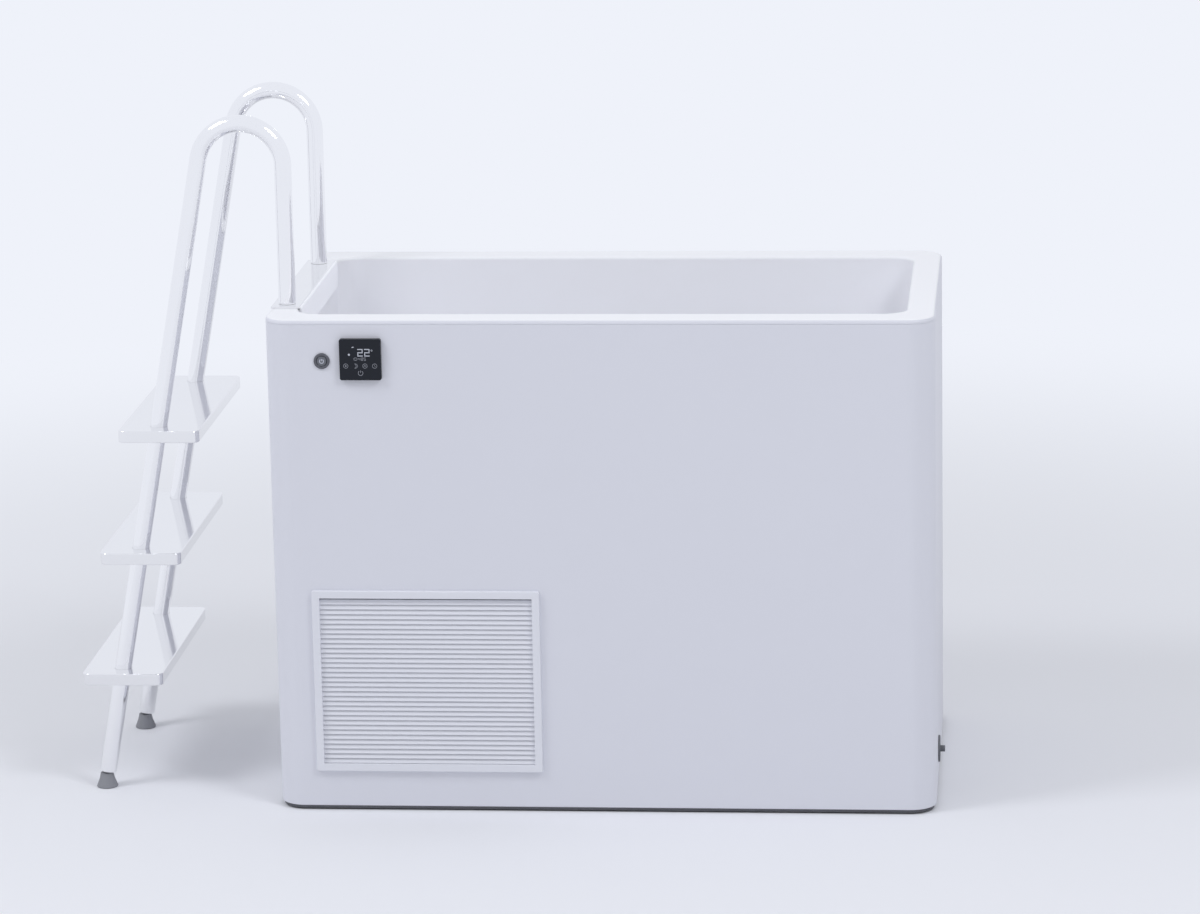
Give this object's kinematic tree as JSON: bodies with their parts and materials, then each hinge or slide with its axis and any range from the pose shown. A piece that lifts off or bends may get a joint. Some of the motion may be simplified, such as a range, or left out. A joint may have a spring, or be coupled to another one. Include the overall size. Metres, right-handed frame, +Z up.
{
  "type": "cold plunge tub",
  "caption": "Free-standing white cold plunge tub with a moulded stepped basin, built-in chiller behind a louvre grille, touch panel, side drain and a hook-on ladder.",
  "frame": {"origin": "on the floor under the centre of the tub's outer shell", "axes": "+X to the tub's right end away from the ladder, +Y to its back, +Z up"},
  "size_m": [1.8247, 0.7927, 1.4521],
  "materials": {
    "white_gloss": "glossy moulded white",
    "polished_plate": "polished plate",
    "white_satin": "satin white moulding",
    "dark_base": "dark grey, fine grain",
    "rubber": "dark grey matt rubber",
    "insulation": "open cut foam",
    "polished_steel": "polished steel tube",
    "dark_steel": "dark satin ring",
    "zinc": "satin zinc",
    "aluminium": "mill finish fins",
    "copper": "drawn copper",
    "black_paint": "black paint",
    "black_glass": "black touch glass with a printed back",
    "dark_plastic": "dark grey moulding",
    "pale_plastic": "pale grey moulding",
    "blue_plastic": "blue filter housing",
    "filter_paper": "pleated fleece"
  },
  "bodies": {
    "tub": {"outer_shell": "white_gloss", "basin": "white_gloss", "rear_vent": "white_satin", "suction_fitting": "white_satin", "return_jet": "white_satin", "base_tray": "dark_base", "base_mat": "rubber", "compressor_grommet_1": "rubber", "compressor_grommet_2": "rubber", "compressor_grommet_3": "rubber", "foam_front": "insulation", "foam_back": "insulation", "foam_left": "insulation", "foam_right": "insulation", "foam_step": "insulation", "foam_floor": "insulation", "floor_drain": "polished_steel", "button_bezel": "dark_steel", "seat_frame": "zinc", "fan_bracket": "zinc", "button_nut": "zinc", "condenser_coil": "aluminium", "discharge_line": "copper", "liquid_line": "copper", "suction_line": "copper", "fan_shroud": "black_paint", "fan_motor": "black_paint", "compressor": "black_paint", "controller_glass": "black_glass", "controller_housing": "dark_plastic", "circulation_pump": "dark_plastic", "filter_head": "dark_plastic", "drain_flange": "dark_plastic", "button_switch": "dark_plastic", "power_gland": "dark_plastic", "heat_exchanger": "pale_plastic", "suction_pipe": "pale_plastic", "pump_hose": "pale_plastic", "filter_hose": "pale_plastic", "return_hose": "pale_plastic", "drain_elbow": "pale_plastic", "control_box": "pale_plastic", "control_box_lid": "pale_plastic", "filter_sump": "blue_plastic", "filter_cartridge": "filter_paper"},
    "ladder": {"hook_plate": "polished_plate", "tread_1": "polished_plate", "tread_2": "polished_plate", "tread_3": "polished_plate", "ladder_rail_front": "polished_steel", "ladder_rail_back": "polished_steel", "ladder_foot_front": "rubber", "ladder_foot_back": "rubber"},
    "grille_panel": {"louvre_grille": "white_satin", "dust_filter": "dark_plastic"},
    "fan": {"condenser_fan": "dark_plastic"},
    "button": {"button_cap": "zinc"},
    "drain_plug": {"drain_spigot": "dark_plastic"}
  },
  "joints": [
    {"name": "ladder_lift", "type": "slide", "parent": "tub", "child": "ladder", "axis": [0, 0, 1], "range_m": [0, 0.08]},
    {"name": "grille_pull", "type": "slide", "parent": "tub", "child": "grille_panel", "axis": [0, -1, 0], "range_m": [0, 0.05]},
    {"name": "fan_spin", "type": "hinge", "parent": "tub", "child": "fan", "pos_m": [-0.367, -0.2807, 0.283], "axis": [0, 1, 0], "continuous": true},
    {"name": "power_button_press", "type": "slide", "parent": "tub", "child": "button", "axis": [0, 1, 0], "range_m": [0, 0.003], "stiffness_N_per_m": 500},
    {"name": "drain_pull", "type": "slide", "parent": "tub", "child": "drain_plug", "axis": [1, 0, 0], "range_m": [0, 0.02]}
  ]
}
